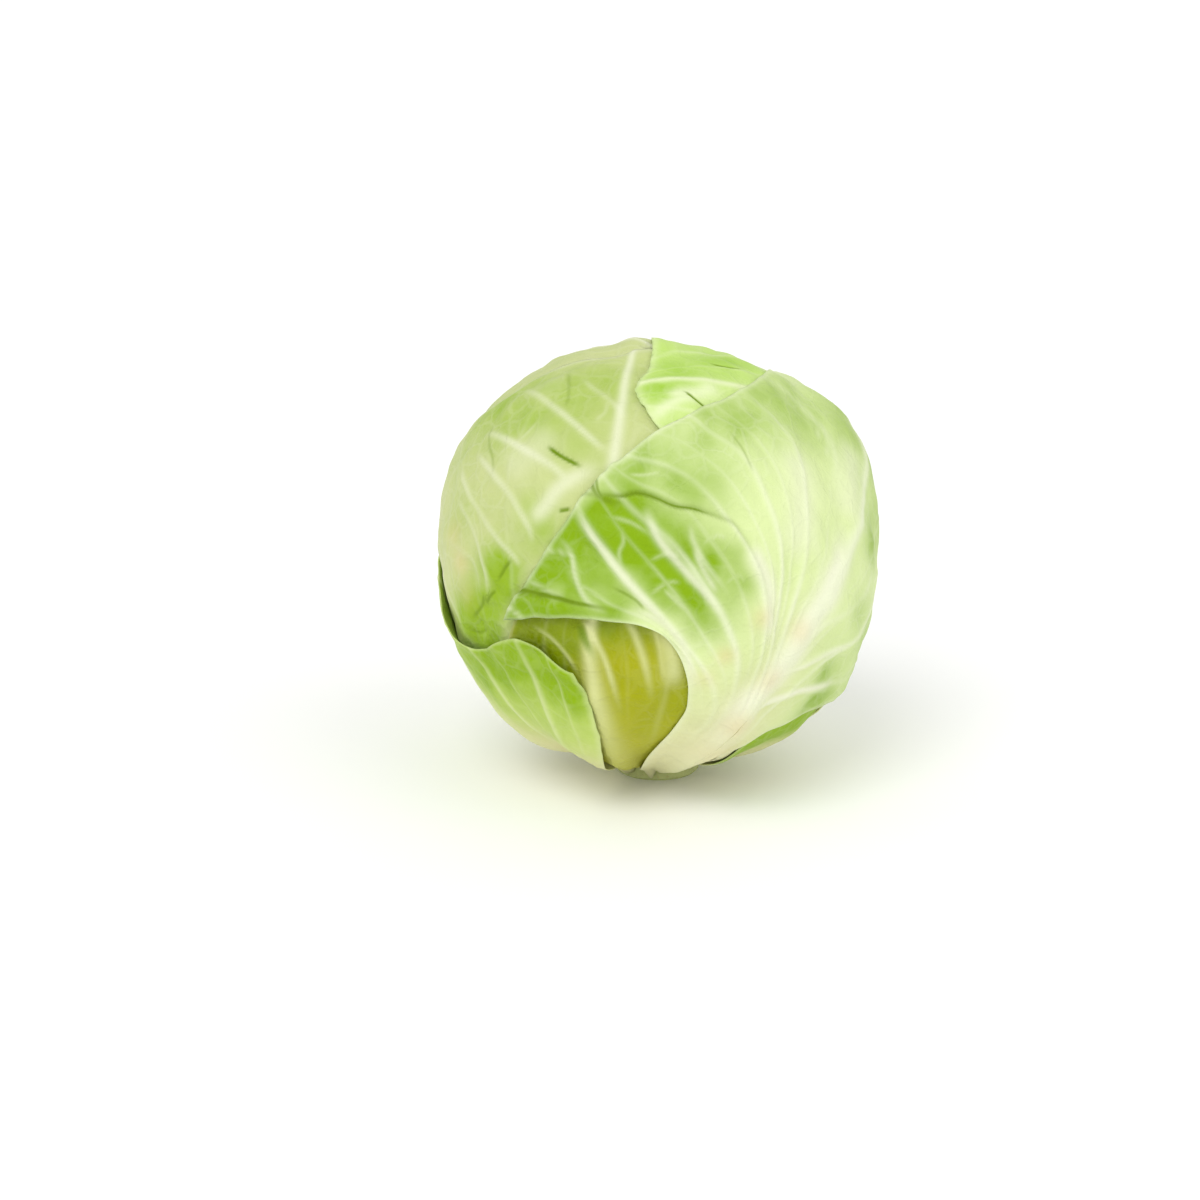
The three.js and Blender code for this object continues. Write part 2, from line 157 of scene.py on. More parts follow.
# Each leaf is a fan of lines from its base at the stalk to its far margin. The lines run from the left edge
# to the right edge, each holding longitude and latitude from base to margin. In each leaf's dictionary:
#   rib: the number of the midrib's line; cells: grid cells across and along
#   green, tan: spots with longitude, latitude, width in degrees and amount; the green spots are the blade's
#       own colour and the tan spots a warm painted shade between the ribs
#   hollows: puckered hollows with longitude, latitude, width in degrees and depth
#   pleats: folds of the blade over itself with a line, height, how soft the low side is, where it fades
#   slits, bands, drawnVeins: a line, half width in millimetres and amount; slits are sunk a little and
#       painted dark as shade in the slit or crease, and bands are broad whitish ribs
#   rolls, leftRolls: a margin that rolls outwards with height, reach, start and end
#   fanVeins: how strong the regular side veins are; uneven and corner: how far the margin wanders
leaves = [
    {
        "name": "back_leaf", "rib": 2, "cells": [110, 120], "colour": "paleLeaf", "uneven": 0.1, "corner": 0,
        "green": [(200, 20, 25, 0.4), (240, 40, 20, 0.3), (170, -10, 20, 0.5), (222, 5, 18, 0.3)],
        "lines": [
            [(162, baseLat), (155, -52), (140, -22), (128, 6), (120, 30), (112, 50)],
            [(177, baseLat), (175, -50), (165, -18), (158, 14), (150, 44), (120, 74)],
            [(192, baseLat), (198, -48), (206, -15), (214, 16), (224, 48), (350, 84)],
            [(207, baseLat), (222, -50), (244, -20), (258, 10), (274, 42), (330, 80)],
            [(222, baseLat), (245, -54), (272, -32), (296, -10), (312, 16), (326, 44)],
        ],
    },
    {
        "name": "left_leaf", "rib": 3, "cells": [240, 190], "colour": "paleLeaf",
        "fanVeins": 0.25, "uneven": 0.35, "corner": 0,
        "lines": [
            [(-65, baseLat), (-62, -54), (-80, -30), (-92, -8), (-98, 14), (-96, 31)],
            [(-54, baseLat), (-48, -52), (-58, -24), (-68, 2), (-74, 28), (-80, 48)],
            [(-43, baseLat), (-36, -50), (-38, -20), (-42, 8), (-50, 38), (-76, 65)],
            [(-32, baseLat), (-26, -48), (-20, -16), (-14, 14), (-16, 48), (-40, 80)],
            [(-21, baseLat), (-16, -48), (-4, -16), (6, 14), (18, 46), (50, 76)],
            [(-10, baseLat), (-6, -50), (12, -24), (24, 0), (36, 28), (58, 52)],
        ],
        "drawnVeins": [
            ([(-72, 37), (-65, 39), (-45, 38), (-32, 35), (-24, 30)], 1.5, 0.95),
            ([(-74, 52), (-64, 53), (-39, 50), (-24, 45), (-17, 42)], 1.4, 0.75),
            ([(-70, 33), (-62, 32), (-46, 27), (-37, 20), (-35, 15)], 1.4, 0.9),
            ([(-74, 28), (-69, 26), (-53, 19), (-41, 12), (-38, 9)], 1.2, 0.7),
            ([(-70, 21), (-63, 19), (-55, 14), (-50, 6), (-49, -2)], 1.1, 0.65),
            ([(-72, 12), (-67, 10), (-60, 9), (-55, 7), (-52, -2)], 1.0, 0.5),
            ([(-50, 63), (-37, 61), (-24, 58), (-13, 53)], 1.1, 0.4),
            ([(-26, 59), (-24, 54), (-27, 50)], 0.9, 0.3),
            ([(-84, 10), (-74, 2), (-66, -6), (-60, -14)], 1.2, 0.5),
            ([(-37, 20), (-33, 26), (-29, 32), (-18, 39)], 3.2, 0.45),
            ([(-58, 32), (-54, 37), (-50, 42), (-48, 49)], 0.8, 0.3),
            ([(-52, 20), (-48, 24), (-47, 28)], 0.7, 0.3),
        ],
        "slitsAndCreaseShade": [
            ([(-40, 41), (-33, 39), (-24, 37)], 0.9, 1.0),
            ([(-46, 4), (-44, 8), (-41, 11)], 0.9, 0.7),
            ([(-51, -3), (-47, 2)], 0.8, 0.7),
            ([(-57, -8), (-53, -4), (-50, 1)], 0.8, 0.6),
            ([(-60, -12), (-56, -12), (-52, -10)], 0.8, 0.5),
            ([(-63, 64), (-47, 58), (-41, 52)], 0.9, 0.3),
            ([(-73, 42), (-65, 37), (-59, 34), (-54, 30)], 0.9, 0.3),
            ([(-29, 25), (-25, 26)], 0.9, 0.9),
        ],
        "green": [(-50, 56, 14, 0.45), (-70, 48, 12, 0.45), (-44, 45, 8, 0.35), (-80, 36, 10, 0.35),
                  (-30, 44, 9, 0.45), (-45, 6, 7, 1), (-50, -3, 8, 1), (-57, -12, 9, 1),
                  (-64, 18, 8, 0.3), (-36, 24, 6, 0.3),
                  (-32, 18, 5, 0.4), (-22, 62, 9, 0.3), (-58, 40, 7, 0.25)],
        # warm painted shade between the ribs
        "tan": [(-61, 6, 3.2, 0.3), (-66, 12, 4, 0.2), (-58, -2, 4, 0.15)],
        "hollows": [(-47, 2, 2, 1.0), (-51, -4, 2.4, 1.2), (-55, -9, 2.2, 1.0), (-48, -3, 1.8, 1.0),
                    (-59, -13, 2.4, 1.2), (-44, 7, 1.8, 0.8)],
        "bands": [([(-37, 20), (-33, 26), (-29, 32), (-18, 39)], 3.5, 0.5),
                  ([(-50, 30), (-44, 38), (-38, 46)], 8, 0.3)],
    },
    {
        "name": "right_leaf", "rib": 2, "cells": [110, 120], "colour": "greenLeaf", "corner": 0.1,
        "green": [(19, -52, 9, 1), (30, -47, 9, 1), (40, -41, 9, 1), (50, -40, 9, 1), (62, -38, 9, 0.8),
                  (110, 10, 22, 0.4), (140, 30, 20, 0.4)],
        "lines": [
            [(30, baseLat), (30, -54), (38, -30), (52, -8), (68, 16), (84, 40)],
            [(44, baseLat), (56, -52), (72, -26), (90, -2), (108, 24), (120, 52)],
            [(58, baseLat), (78, -54), (104, -28), (126, -4), (144, 22), (158, 52)],
            [(72, baseLat), (98, -58), (130, -36), (154, -14), (172, 10), (184, 38)],
            [(86, baseLat), (112, -64), (146, -48), (174, -32), (196, -14), (208, 6)],
        ],
    },
    {
        "name": "crown_leaf", "rib": 2, "cells": [130, 180], "colour": "crownLeaf",
        "uneven": 0.45, "corner": 0.015,
        "slitsAndCreaseShade": [([(12, 61), (17, 58), (23, 54)], 0.7, 1.0), ([(25, 54), (26, 51)], 0.6, 0.8),
                  ([(48, 73), (58, 69), (66, 66)], 0.7, 1.0)],
        "green": [(-4, 62, 6, 0.6), (4, 68, 7, 0.4), (40, 74, 10, 0.3), (70, 72, 8, 0.4),
                  (130, 60, 18, 0.4), (120, 10, 20, 0.3)],
        "bands": [([(2, 60), (12, 60), (24, 61), (36, 64)], 4, 0.6),
                  ([(-4, 51), (2, 55), (11, 58), (20, 58)], 3, 0.6)],
        "lines": [
            [(82, baseLat), (84, -48), (68, -20), (50, 6), (28, 30), (2, 44)],
            [(96, baseLat), (95, -46), (83, -16), (68, 14), (42, 42), (-8, 56)],
            [(110, baseLat), (106, -44), (100, -12), (90, 20), (66, 52), (-15, 64)],
            [(124, baseLat), (118, -42), (118, -8), (116, 26), (105, 60), (-10, 76)],
            [(138, baseLat), (130, -48), (140, -20), (150, 8), (165, 36), (190, 64)],
        ],
    },
    {
        "name": "fold_leaf", "rib": 2, "cells": [130, 130], "colour": "foldLeaf", "corner": 0,
        "pleats": [([(-21, -2), (-19.5, -6), (-17, -11), (-13, -19)], 1.7, 6, [0, 0.3, 0.6, 1])],
        "drawnVeins": [
            ([(-20, 0), (-17, -4), (-14, -10), (-12, -18), (-10, -30)], 1.2, 0.8),
            ([(-10, 2), (-7, -2), (-5, -7), (-3, -14), (-1, -26)], 1.7, 0.9),
            ([(-35, -5), (-29, -7), (-24, -11), (-20, -18)], 1.0, 0.6),
            ([(-2, 0), (0, -6), (1, -12), (2, -20)], 1.2, 0.7),
        ],
        "fanVeins": 0.3,
        # The strong green beside the flap is partly the leaf's own green and partly painted shade under the
        # flap.
        "green": [(-26, -4, 8, 1), (-14, -1, 8, 1), (-34, -8, 8, 1), (-4, -3, 5, 0.6), (-30, -14, 8, 0.8)],
        "bands": [([(0, 2), (2, -4), (4, -12), (4, -22)], 4, 0.55)],
        "lines": [
            [(-44, baseLat), (-36, -56), (-43, -40), (-45, -26), (-43, -12), (-38, 0)],
            [(-30, baseLat), (-26, -54), (-30, -34), (-32, -18), (-30, -6), (-26, 5)],
            [(-16, baseLat), (-16, -54), (-16, -34), (-17, -18), (-17, -5), (-15, 6)],
            [(-2, baseLat), (-5, -54), (0, -34), (2, -18), (1, -6), (-2, 6)],
            [(12, baseLat), (6, -56), (18, -38), (24, -22), (24, -8), (16, 4)],
        ],
    },
    {
        "name": "front_leaf", "rib": 6, "cells": [210, 200], "colour": "frontLeaf",
        "fanVeins": 0.9, "corner": 0.012,
        "pleats": [
            ([(-23, 29), (-11, 29), (-5, 30), (4, 27), (10, 26), (18, 23), (21, 20), (25, 12), (27, 7),
              (31, -8)], 2.7, 12, [-0.15, 0.2, 0.35, 1]),
            ([(-45, 2), (-42, 1.5), (-36, 3), (-28, 3), (-22, 2.5), (-16, 3.5)],
             2.0, 7, [-0.15, 0.2, 0.7, 1]),
            ([(-12, 29), (-16.5, 30.5), (-19, 34), (-18, 39)], 1.2, 5, [-0.15, 0.2, 0.5, 1]),
        ],
        "leftRolls": [(2.2, 0.1, 0.62, 0.85)],
        "bands": [
            ([(12, -55), (22, -28), (30, -21), (36, -14), (42, -6), (49, 2), (55, 10), (62, 18)], 6.5, 0.8),
            ([(30, -12), (29, -2), (29, 6), (26, 13), (24, 18)], 4, 0.6),
            ([(10, -22), (8, -12), (5, -5), (0, 0), (-8, 2.5)], 2, 0.5),
            ([(-24, 26), (-17, 19.5), (-9, 11), (-1, 2), (6.5, -5.5)], 1.7, 0.55),
            ([(-4, 28), (-0.5, 20.5), (4, 15), (11.5, 6.5), (17, -1)], 1.7, 0.55),
            ([(9, 17.5), (11.6, 11.5), (15, 5.5)], 1.2, 0.4),
            ([(28, -28), (35, -26), (45, -25), (71, -28)], 1.6, 0.7),
            ([(34, -18), (42, -17), (51, -16), (66, -14)], 1.3, 0.5),
            ([(36, 10), (44, 26), (50, 42)], 9, 0.35),
            ([(60, 16), (72, 26), (84, 34)], 9, 0.3),
            ([(-19, 36), (-14, 42), (-7, 46.5), (2, 51), (12, 53)], 2.2, 0.55),
        ],
        # warm painted shade between the ribs
        "tan": [(17, -10, 2.4, 0.35), (26, -1, 3, 0.3), (31, -19, 3.5, 0.3), (39, -7, 3.5, 0.3),
                (23, -31, 4, 0.35), (20, -42, 6, 0.25), (12, -16, 3, 0.2)],
        "hollows": [(-28, 12, 3.6, 1.4), (-21, 18, 3.4, 1.3), (-17, 15, 2.6, 1.0), (-13, 25, 3.2, 1.1),
                    (-7, 19, 2.6, 0.9), (-38, 5, 2.6, 1.2), (-4, 24, 2.4, 0.8), (3, 14, 2.6, 0.9),
                    (-3, 11, 3, 0.9), (9, 21, 2.6, 0.6), (12, 6, 3, 0.7), (-9, 6, 2.5, 0.7),
                    (18, 15, 2.5, 0.5), (-6, 38, 4, 0.8), (4, 33, 3.4, 0.6), (14, 44, 4, 0.6),
                    (-33, 7, 2.5, 0.7)],
        "slitsAndCreaseShade": [([(26, 47), (28, 41), (29, 34)], 0.7, 0.3),
                  ([(-44, 2.2), (-36, 3.9), (-28, 4), (-20, 3.4), (-8, 2)], 0.9, 1.0),
                  ([(-12, 8), (-6, 5), (-3, 2)], 0.7, 0.5), ([(-15, 28.6), (-17.5, 31), (-19, 35)], 0.8, 0.7),
                  ([(-13, 29.4), (-5, 31), (4, 28), (10, 26.9), (17, 24.2)], 0.9, 0.9)],
        "lines": [
            [(-26, baseLat), (-4, -50), (8, -24), (1, -4), (-20, -1), (-45, -6)],
            [(-18, baseLat), (4.5, -50), (15.5, -23), (6.5, -5.5), (-9, 11), (-25, 27)],
            [(-11, baseLat), (7.5, -50), (20, -20), (17, -1), (3, 18), (-18, 36)],
            [(-4, baseLat), (9.5, -50), (25, -19), (27, 4), (16, 28.5), (-12, 42.5)],
            [(4, baseLat), (11, -50), (28, -17), (33, 12), (29, 36), (10, 53)],
            [(11, baseLat), (12.3, -50), (30, -18), (41, 13), (48, 38), (45, 60)],
            [(19, baseLat), (13.5, -50), (31.5, -20.5), (53, 5), (84, 25), (125, 48)],
            [(26, baseLat), (15, -50.5), (34, -29), (60, -14), (90, -2), (130, 14)],
            [(34, baseLat), (17, -51.5), (36, -40), (60, -38), (88, -33), (112, -20)],
        ],
        "green": [(-32, 12, 7, 0.9), (-22, 17, 9, 1), (-13, 23, 7.5, 1), (-5, 21, 8, 1), (4, 16, 8, 0.95),
                  (9, 8, 7, 0.85), (12, 0, 6, 0.5), (-12, 12, 8, 0.85), (-2, 6, 5, 0.6), (-22, 8, 7, 0.8),
                  (16, 14, 6, 0.75), (21, 8, 5, 0.5), (-38, 6, 6, 1), (-38, -3, 7, 1), (-28, 0, 7, 1),
                  (-18, 1, 6, 1), (-10, 2, 4, 0.7), (-6, 38, 8, 0.4), (6, 35, 8, 0.4),
                  (-12, 33, 5, 0.4), (14, 31, 6, 0.35), (-14, 45, 6, 0.3), (14, 46, 9, 0.2),
                  (26, 52, 12, 0.35), (50, 54, 12, 0.4), (70, 50, 12, 0.45), (54, -22, 5, 0.45),
                  (58, -32, 7, 0.7), (63, -6, 5, 0.35), (72, -14, 8, 0.5), (76, 8, 7, 0.55),
                  (84, -30, 10, 0.6), (95, 35, 14, 0.5), (90, 14, 10, 0.4)],
        "drawnVeins": [
            ([(-15, 25), (-9, 24), (-6, 23), (-1, 20)], 0.8, 0.5),
            ([(-10, 23), (-9, 19), (-10, 16), (-9, 12)], 0.8, 0.5),
            ([(-29, 19), (-23, 15), (-21, 10), (-17, 4), (-11, 1)], 1.1, 0.75),
            ([(-34, 13), (-29, 15), (-22, 14)], 0.9, 0.5),
            ([(-37, 11), (-34, 7), (-28, 5), (-22, 4)], 1.1, 0.55),
            ([(-45, 0), (-40, -1), (-34, -4)], 1.1, 0.7),
            ([(1, 8), (4, 5), (8, 1)], 0.8, 0.5),
            ([(8, 24), (9, 19), (13, 12), (18, 5)], 1.1, 0.6),
            ([(-3, 14), (2, 16), (6, 15)], 0.8, 0.45),
            ([(-3, 5), (2, 9), (6, 9)], 0.7, 0.4),
            ([(11, 18), (15, 20), (18, 19)], 0.7, 0.4),
            ([(16, 8), (20, 10), (22, 8)], 0.7, 0.4),
            ([(-10, 36), (-4, 36), (2, 37)], 0.7, 0.4),
            ([(44, 20), (46, 9), (44, 2)], 2.0, 0.4),
            ([(66, 64), (74, 50), (72, 36), (62, 22)], 2.0, 0.5),
            ([(39, -13), (48, -7), (65, -3), (80, 4)], 1.6, 0.6),
            ([(31, -20), (45, -16), (62, -15), (80, -12)], 1.5, 0.6),
            ([(25, -28), (44, -26), (65, -30)], 1.5, 0.6),
        ],
    },
    {
        "name": "base_leaf", "rib": 2, "cells": [150, 110], "colour": "greenLeaf",
        "rolls": [(2.4, 0.2, 0.45, 0.95)],
        "green": [(-38, -12, 8, 1), (-29, -14, 8, 1), (-24, -20, 8, 0.9), (-50, -19, 9, 0.8),
                  (-62, -22, 10, 0.7), (-85, -14, 16, 0.6), (-110, -10, 18, 0.6)],
        "hollows": [(-40, -14, 2.5, 0.8), (-33, -13, 2.2, 0.8), (-28, -18, 2.6, 0.9), (-46, -20, 3, 0.7)],
        "lines": [
            [(-88, baseLat), (-104, -62), (-124, -48), (-138, -34), (-146, -20), (-148, -6)],
            [(-77, baseLat), (-84, -58), (-98, -42), (-108, -26), (-114, -10), (-116, 4)],
            [(-66, baseLat), (-64, -56), (-70, -40), (-76, -26), (-80, -14), (-82, -3)],
            [(-54, baseLat), (-50, -58), (-50, -44), (-53, -32), (-56, -23), (-58, -15.5)],
            [(-43, baseLat), (-36, -59), (-33, -45), (-33, -32), (-35, -20), (-37, -7.5)],
            [(-32, baseLat), (-26, -60), (-19, -46), (-17, -34), (-18, -22), (-22, -12.5)],
        ],
    },
]

# The plain leaves round the heart, all of one shape, each turned on from the last.
inner = {
    "count": 4,
    "firstTurn": 20,
    "turn": 137.5,
    "lean": [-62, -34, 0, 34, 62],  # how far to the side each line of the blade goes
    "baseLean": 0.45,
    "topLean": 1.2,
    "rise": [-46, -14, 20, 52],
    "widen": [0.8, 1.05, 1.1, 1.15],
    "sag": 400,
    "top": [56, 78, 98, 78, 56],
    "cells": [60, 60],
}


def innerLeaf(index):
    turn = inner["firstTurn"] + index * inner["turn"]
    lines = []
    for lean, top in zip(inner["lean"], inner["top"]):
        line = [(turn + lean * inner["baseLean"], baseLat)]
        for lat, widen in zip(inner["rise"], inner["widen"]):
            line.append((turn + lean * widen, lat * (1 - abs(lean) / inner["sag"])))
        line.append((turn + lean * inner["topLean"], top))
        lines.append(line)
    return {"name": "inner_leaf_%d" % (index + 1), "rib": 2, "cells": inner["cells"], "colour": "innerLeaf",
            "lines": lines}


# Points along a leaf's outline and midrib that its distances are measured to.
outlineSteps = {"side": 80, "end": 160, "foot": 10}


def prepareLeaf(leaf):
    leaf["net"] = direction([[p[0] for p in line] for line in leaf["lines"]],
                            [[p[1] for p in line] for line in leaf["lines"]])
    leaf["ribU"] = leaf["rib"] / (len(leaf["lines"]) - 1)
    sides, ends = outlineSteps["side"], outlineSteps["end"]
    t = np.linspace(0, 1, sides + 1)
    leaf["ribLine"] = bladeDirection(leaf, np.full(sides + 1, leaf["ribU"]), t)
    side, end, foot = t[:sides], np.linspace(0, 1, ends + 1)[:ends], t[:sides:sides // outlineSteps["foot"]]
    u = np.concatenate([0 * side, end, 0 * side + 1, 1 - foot])
    v = np.concatenate([side, 0 * end + 1, 1 - side, 0 * foot])
    outline = bladeDirection(leaf, u, v)
    outward = unit(np.cross(np.roll(outline, -1, 0) - np.roll(outline, 1, 0), outline))
    middle = bladeDirection(leaf, np.array([0.5]), np.array([0.5]))[0]
    nearest = (outline @ middle).argmax()
    if (middle - outline[nearest]) @ outward[nearest] > 0:
        outward = -outward
    leaf["outline"], leaf["outward"] = outline, outward


# How far directions lie outside a leaf's outline, in millimetres; negative inside.
def outside(leaf, dirs):
    near = dirs @ leaf["outline"].T
    best = near.argmax(axis=1)
    arc = np.arccos(np.clip(near[np.arange(len(dirs)), best], -1, 1)) * head["radius"]
    out = np.einsum("ij,ij->i", dirs - leaf["outline"][best], leaf["outward"][best])
    return np.where(out > 0, arc, -arc)


# The nearest place on a midrib: how far away it is, and its half width and height there.
def nearestRib(leaf, dirs):
    arc, place, _ = curveDistance(dirs, leaf["ribLine"])
    left = 1 - place
    width = head["ribEdge"] + head["ribWidth"] * left ** head["ribNarrowing"]
    height = head["ribTip"] + head["ribHeight"] * left ** head["ribFlattening"]
    return arc, width, height


# 0 at the stalk, where the leaf bases are crowded, rising to 1 further out.
def clearOfStalk(dirs):
    fromBottom = np.degrees(np.arccos(np.clip(-dirs[:, 2], -1, 1)))
    return smooth(head["crowdedFrom"], head["crowdedTo"], fromBottom)


# The heart's surface, smaller where more leaves lie on it and a little uneven.
def heartRadius(dirs):
    radius = head["radius"] - head["hollowDepth"] * (1 - clearOfStalk(dirs))
    for leaf in allLeaves:
        radius -= head["lift"] * (1 - smooth(head["broadNear"], head["broadFar"], outside(leaf, dirs)))
    for lon, lat, height, width in head["swellings"]:
        radius += height * np.exp(-(angle(dirs, lon, lat) / width) ** 2)
    x, y, z = dirs.T
    return radius + 0.5 * np.sin(5.1 * x + 3.3 * y + 1.7) + 0.4 * np.sin(6.3 * z - 4.7 * y + 0.6)


# The surface that a leaf lies on: the heart, raised by each leaf in between and bridging their midribs.
def seatRadius(under, dirs):
    radius = heartRadius(dirs) + head["seatGap"]
    crowd = head["crowdedScale"] + (1 - head["crowdedScale"]) * clearOfStalk(dirs)
    for leaf in under:
        cover = 1 - smooth(head["coverNear"] * crowd, head["coverFar"] * crowd, outside(leaf, dirs))
        arc, width, height = nearestRib(leaf, dirs)
        bridge = 1 - smooth(width, 1.6 * width + head["ribBridge"] * crowd, arc)
        radius += cover * (head["lift"] + height * bridge)
    return radius


veins = {
    "mainHeight": 0.7,
    "minorHeight": 0.35,
    "mainWidth": 1.5,
    "minorWidth": 0.9,
    "wander": 0.006,
    "taper": 0.3,  # the share of a drawn vein over which each end fades
    "broadTaper": 0.25,
    "haloWidth": 3,  # the paler blade beside a vein, in widths of the vein
}


# Side veins run along the blade's lines and halfway between them, and drawn veins along their own lines.
# Gives how white each place is, the veins' height and the paler blade beside them.
def sideVeins(leaf, u, v, dirs, mmAcross):
    count = 2 * (len(leaf["lines"]) - 1)
    mask = np.zeros(len(u))
    relief = np.zeros(len(u))
    halo = np.zeros(len(u))
    wander = veins["wander"] * ripple(dirs, 14, 3)
    for k in range(1, count):
        main = k % 2 == 0
        if k / count == leaf["ribU"]:
            continue
        place = k / count + wander * (1 + 0.4 * (k % 3))
        width = (veins["mainWidth"] if main else veins["minorWidth"]) * (1.25 - 0.5 * v)
        across = np.abs(u - place) * mmAcross
        ends = smooth(0.2, 0.5, v) * (1 - 0.5 * smooth(0.6, 1, v))
        if not main:
            ends *= smooth(0.3, 0.55, v)
        strength = leaf.get("fanVeins", 1)
        bell = np.exp(-(across / width) ** 2) * ends * strength
        mask = np.maximum(mask, bell * (0.85 if main else 0.45))
        wide = np.exp(-(across / (veins["haloWidth"] * width)) ** 2) * ends * strength
        halo = np.maximum(halo, wide * (0.9 if main else 0.5))
        relief = np.maximum(relief, bell * (veins["mainHeight"] if main else veins["minorHeight"]))
    uneven = np.clip(0.85 + 0.3 * ripple(dirs, 18, 5), 0.4, 1.1)
    for line, width, strength in leaf.get("drawnVeins", []):
        bell = drawnRidge(dirs, line, width, veins["taper"])
        wide = drawnRidge(dirs, line, veins["haloWidth"] * width, veins["broadTaper"])
        halo = np.maximum(halo, strength * wide)
        mask = np.maximum(mask, bell * strength * 0.9)
        relief = np.maximum(relief, bell * strength * veins["mainHeight"])
    return np.clip(mask * uneven, 0, 1), relief, halo


# Folds of the blade over itself: steep to the left of each line, with painted shade along the crease, and
# soft to its right. The crease values place, widen and fade that painted shade.
folds = {"steep": 1.1, "creasePlace": 1.5, "creaseWidth": 1.2, "fading": 0.85, "creaseFading": 0.8}


def foldRelief(leaf, dirs):
    relief = np.zeros(len(dirs))
    creaseShade = np.zeros(len(dirs))
    for line, height, soft, fade in leaf.get("pleats", []):
        arc, place, side = strokeDistance(dirs, line)
        above = side > 0
        strength = smooth(fade[0], fade[1], place) * (1 - folds["fading"] * smooth(fade[2], fade[3], place))
        ragged = 1 + 0.25 * ripple(dirs, 40, 7)
        relief += height * strength * ragged * np.exp(-(arc / np.where(above, folds["steep"], soft)) ** 2)
        # How dark the painted shade in the crease is.
        dark = strength * (1 - folds["creaseFading"] * smooth(0.5, 0.75, place))
        dark = dark * (1 + 0.5 * ripple(dirs, 30, 8))
        bell = np.exp(-((arc - folds["creasePlace"]) / folds["creaseWidth"]) ** 2)
        creaseShade = np.maximum(creaseShade, dark * bell * above)
    return relief, creaseShade


# Slits and crease lines, sunk a little and painted dark as shade in them: the distance to each side of the
# nearest one in shares of its width, and how deep it is and how dark its painted shade is. The distance
# changes sign far from any slit, so the painted shade ends before that.
slitReach = 1.4
slitSearch = 6.0
slitEnds = (1.8, 3.2)


def slitField(leaf, dirs):
    across = np.full(len(dirs), slitReach)
    depth = np.zeros(len(dirs))
    nearest = np.full(len(dirs), slitSearch)
    for line, width, amount in leaf.get("slitsAndCreaseShade", []):
        arc, place, side = strokeDistance(dirs, line)
        nearer = arc / width < nearest
        nearest = np.where(nearer, arc / width, nearest)
        across = np.where(nearer, np.clip(side / width, -slitReach, slitReach), across)
        depth = np.where(nearer, amount * smooth(0, 0.25, place) * (1 - smooth(0.75, 1, place)), depth)
    return across, depth * (1 - smooth(*slitEnds, nearest))


# Broad whitish ribs.
def bandField(leaf, dirs):
    field = np.zeros(len(dirs))
    for line, width, amount in leaf.get("bands", []):
        field = np.maximum(field, amount * drawnRidge(dirs, line, width, veins["broadTaper"]))
    return field


# Soft spots that add up to 1 at most.
def spotField(dirs, spots):
    rest = np.ones(len(dirs))
    for lon, lat, width, amount in spots:
        rest *= 1 - amount * np.exp(-(angle(dirs, lon, lat) / width) ** 2)
    return 1 - rest


# The margins wander a little: shares of the blade that are missing at the far and side margins and corners.
margins = {"far": 0.016, "side": 0.01, "corner": 0.045, "waves": (3, 7, 13)}


def unevenMargins(leaf, u, v):
    rng = np.random.default_rng(len(leaf["name"]) * 7 + leaf["cells"][0])

    def wander(x):
        total = np.zeros(len(x))
        for waves in margins["waves"]:
            total += np.sin(6.28 * (waves * x + rng.uniform())) / waves**0.6
        return 0.5 + 0.5 * np.clip(total / 1.4, -1, 1)

    amount = leaf.get("uneven", 1)
    shorter = amount * margins["far"] * wander(u) * smooth(0.8, 1, v)
    corner = leaf.get("corner", margins["corner"]) * (1 - smooth(0, 0.2, u) + smooth(0.8, 1, u))
    shorter += corner * smooth(0.7, 1, v)
    left = amount * margins["side"] * wander(v) * (1 - smooth(0, 0.12, u)) * smooth(0.2, 0.4, v)
    right = amount * margins["side"] * wander(v + 0.37) * smooth(0.88, 1, u) * smooth(0.2, 0.4, v)
    return u + left - right, v - shorter


# A flat grid as a closed slab, with its outer face at height 1 and its inner face at 0.
def leafSlab(leaf):
    columns, rows = leaf["cells"]
    bm = bmesh.new()
    bmesh.ops.create_grid(bm, x_segments=columns, y_segments=rows, size=0.5)
    uvLayer = bm.loops.layers.uv.new("leafUv")
    for face in bm.faces:
        for loop in face.loops:
            loop[uvLayer].uv = (loop.vert.co.x + 0.5, loop.vert.co.y + 0.5)
    walls = bmesh.ops.extrude_face_region(bm, geom=bm.faces[:], use_keep_orig=True)
    raised = [part for part in walls["geom"] if isinstance(part, bmesh.types.BMVert)]
    bmesh.ops.translate(bm, verts=raised, vec=(0, 0, 1))
    mesh = bpy.data.meshes.new(leaf["name"])
    bm.to_mesh(mesh)
    bm.free()
    return mesh


blade = {
    "step": 0.004,  # share of the width over which it is measured
    "length": 180,
    "thinEdge": 4,  # millimetres from the margin to the full thickness
    "waveEdge": 5,  # the margin stands off in waves over this distance
    "paleEdge": 3,
    "creamFrom": 0.2,  # the creamy foot of the blade fades out between these shares of its length
    "creamTo": 0.6,
}


# Millimetres across the whole blade at each place, and millimetres to the nearest margin.
def bladeMeasures(leaf, u, v):
    before = np.clip(u - blade["step"], 0, 1)
    after = np.clip(u + blade["step"], 0, 1)
    beside = bladeDirection(leaf, after, v) - bladeDirection(leaf, before, v)
    mmAcross = np.linalg.norm(beside, axis=1) * head["radius"] / (after - before)
    edge = np.minimum(np.minimum(u, 1 - u) * mmAcross, (1 - v) * blade["length"])
    return mmAcross, edge


def partWay(x, start, end):
    return smooth(start - 0.08, start + 0.04, x) * (1 - smooth(end, end + 0.15, x))


